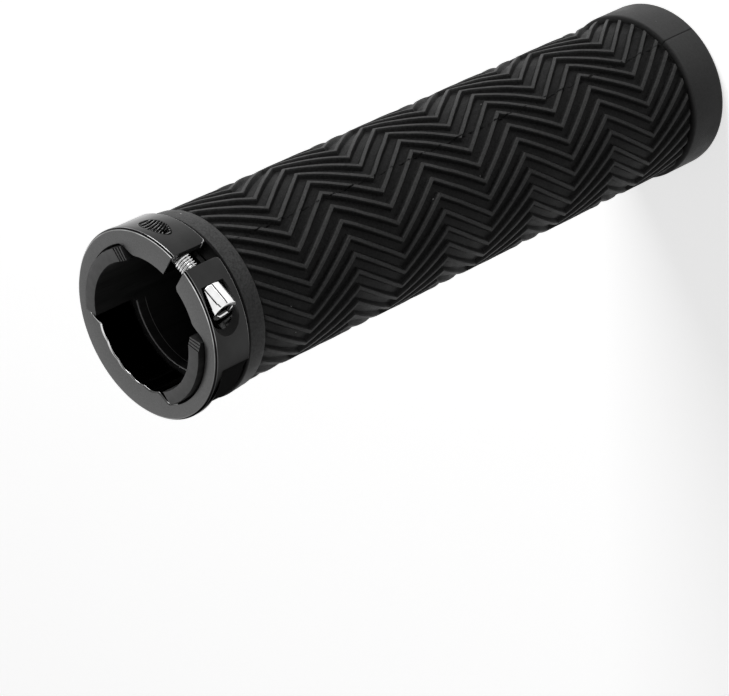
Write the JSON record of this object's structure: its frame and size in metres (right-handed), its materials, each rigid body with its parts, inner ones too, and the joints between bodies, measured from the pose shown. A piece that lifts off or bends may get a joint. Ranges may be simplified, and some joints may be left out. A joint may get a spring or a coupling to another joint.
{
  "type": "handlebar grip",
  "caption": "Clamp-on bicycle handlebar grip: ribbed black rubber sleeve on a hard core, with a slotted metal collar and clamp screw at one end.",
  "frame": {"origin": "centre of the outer end, on the grip's axis, where it stands on that end", "axes": "+Z along the axis from the outer end to the clamp collar; -Y towards the collar's slot; the screw lies along X with its head towards -X"},
  "size_m": [0.033, 0.0329, 0.1301],
  "materials": {
    "rubber": "matte black moulded rubber",
    "core_plastic": "dark grey hard plastic",
    "anodised_collar": "black anodised, satin",
    "chrome_bolt": "bright plated"
  },
  "bodies": {
    "root": {"rubber_sleeve": "rubber", "core_sleeve": "core_plastic", "lock_collar": "anodised_collar", "clamp_bolt": "chrome_bolt"}
  },
  "joints": []
}
